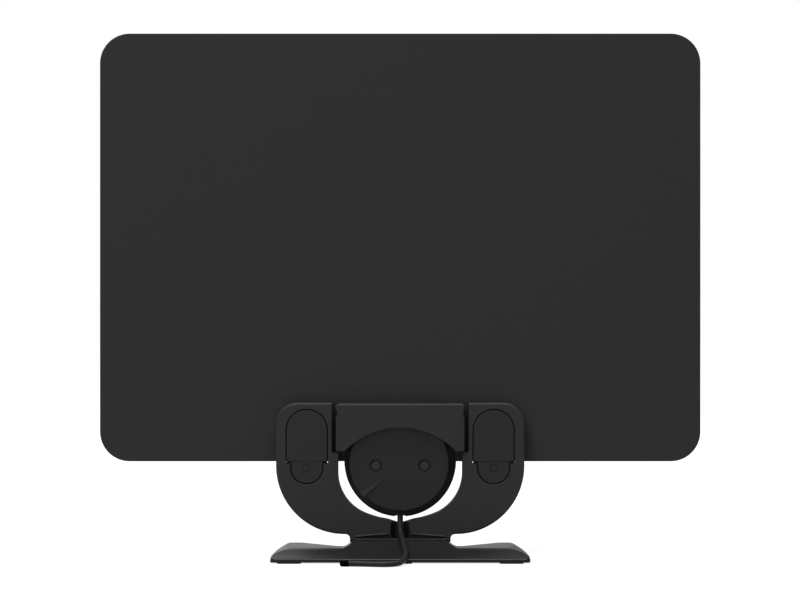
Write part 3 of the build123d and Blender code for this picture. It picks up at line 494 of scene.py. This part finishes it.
for entry in frame["record"]["subparts"]:
    node = frame["nodes"][entry["node"]]
    node.data.materials.clear()
    node.data.materials.append(finishes[entry["material_slot"]])
lead_curve.materials.append(finishes["cable_jacket"])
boot.data.materials.append(finishes["foot_rubber"])
for piece in leaves.values():
    piece.data.materials.append(finishes["spring_steel"])
for stop in pin_stops:
    stop.data.materials.append(finishes["bracket_plastic"])
print("finishes", len(finishes))

# %% [markdown]
# ## Socket on the lead's end
# The lead ends in a small dark coax socket that comes from the CAD model with its insulator and contact.

print("lead ends in the CAD socket")

# %% [markdown]
# ## Floor, backdrop and light
# The product stands on a white floor before a white backdrop, in a room that is dimmer behind the camera and
# under its ceiling, most of all on the right. The world is that room. Its level follows the direction: white
# at the horizon behind the product, less above it and less behind the camera. To the eye it is white all round,
# and reflections find the backdrop that the camera sees white too.
# The floor is white to the eye and to reflections through Light Path. Near the product, where the lamps reach,
# its own glow is weaker, so that it still takes a faint shadow.
# A softbox hangs above, a key stands at the upper left behind the camera, and a weak fill lights the recesses.

# %% Floor
FLOOR_SIZE = 12.0
FLOOR_GREY = (0.25, 0.25, 0.25, 1.0)
NEAR_GLOW = 0.76
GLOW_START = 0.2
GLOW_END = 1.2
bpy.ops.object.select_all(action="DESELECT")
bpy.ops.mesh.primitive_plane_add(size=FLOOR_SIZE, location=(0, 0, 0))
floor = bpy.context.object
floor.name = "floor"
floor_finish = Finish.material("pale_floor")
rays = floor_finish.tree.nodes.new("ShaderNodeLightPath")
kinds = ("Is Camera Ray", "Is Glossy Ray", "Is Transmission Ray")
seen = sum(Value(floor_finish, rays.outputs[kind]) for kind in kinds)
reach = floor_finish.node("ShaderNodeVectorMath", {"operation": "LENGTH"}, {0: floor_finish.place()}, "Value")
fall_off = {"Value": reach, "From Min": GLOW_START, "From Max": GLOW_END, "To Min": NEAR_GLOW, "To Max": 1.0}
glow = seen * floor_finish.node("ShaderNodeMapRange", None, fall_off)
floor_finish.set(Base_Color=FLOOR_GREY, Roughness=0.9, Specular_IOR_Level=0.0)
floor_finish.set(Emission_Color=glow, Emission_Strength=1.0)
floor.data.materials.append(floor_finish.owner)
print("floor ready")

# %% World and lamps
ROOM_LEVEL = 0.17
CEILING_LEFT = 0.9
CEILING_RIGHT = 0.0
VIEW_TOP = 0.12
CEILING_START = 0.2
LAMP_TARGET = (0, 0, 0.1)
room = Finish(bpy.data.worlds.new("studio"), "Background")
bpy.context.scene.world = room.owner


def room_grade(axis, start, end, first, last):
    """A level that goes from first to last while a direction's share along an axis goes from start to end."""
    towards = room.node("ShaderNodeTexCoord", output="Generated")
    share = room.node("ShaderNodeSeparateXYZ", None, {0: towards}, output=axis)
    limits = {"Value": share, "From Min": start, "From Max": end, "To Min": first, "To Max": last}
    return room.node("ShaderNodeMapRange", None, limits)


ahead = room_grade("Y", -0.2, 0.2, 0.0, 1.0)
above = room_grade("Z", 0.0, CEILING_START, 0.0, 1.0)
ceiling = room_grade("X", -0.1, 0.1, CEILING_LEFT, CEILING_RIGHT)
backdrop = above * (ceiling - 1.0) + 1.0
level = ahead * (backdrop - ROOM_LEVEL) + ROOM_LEVEL
behind_product = ahead * room_grade("Z", VIEW_TOP, CEILING_START, 1.0, 0.0)
eye, shine, glass = (room.node("ShaderNodeLightPath", output=kind) for kind in kinds)
white = eye + shine * behind_product + glass
room.set(Color=white * (1.0 - level) + level)


def soft_lamp(name, place, width, height, watts):
    data = bpy.data.lights.new(name, "AREA")
    data.shape = "RECTANGLE"
    data.size = width
    data.size_y = height
    data.energy = watts
    lamp = bpy.data.objects.new(name, data)
    bpy.context.scene.collection.objects.link(lamp)
    lamp.location = place
    aim = Vector(LAMP_TARGET) - Vector(place)
    lamp.rotation_euler = aim.to_track_quat("-Z", "Y").to_euler()


soft_lamp("top_softbox", (0, -0.15, 1.5), 1.4, 0.8, 36.0)
soft_lamp("left_key", (-1.6, -2.4, 2.4), 1.0, 1.0, 34.0)
soft_lamp("front_fill", (-1.0, -2.4, 0.3), 1.2, 0.8, 6.0)
bpy.context.scene.view_settings.view_transform = "Standard"
print("lamps", 3)

# %% [markdown]
# ## Finish
# The last cell updates the view layer.

# %% Finish
bpy.context.view_layer.update()
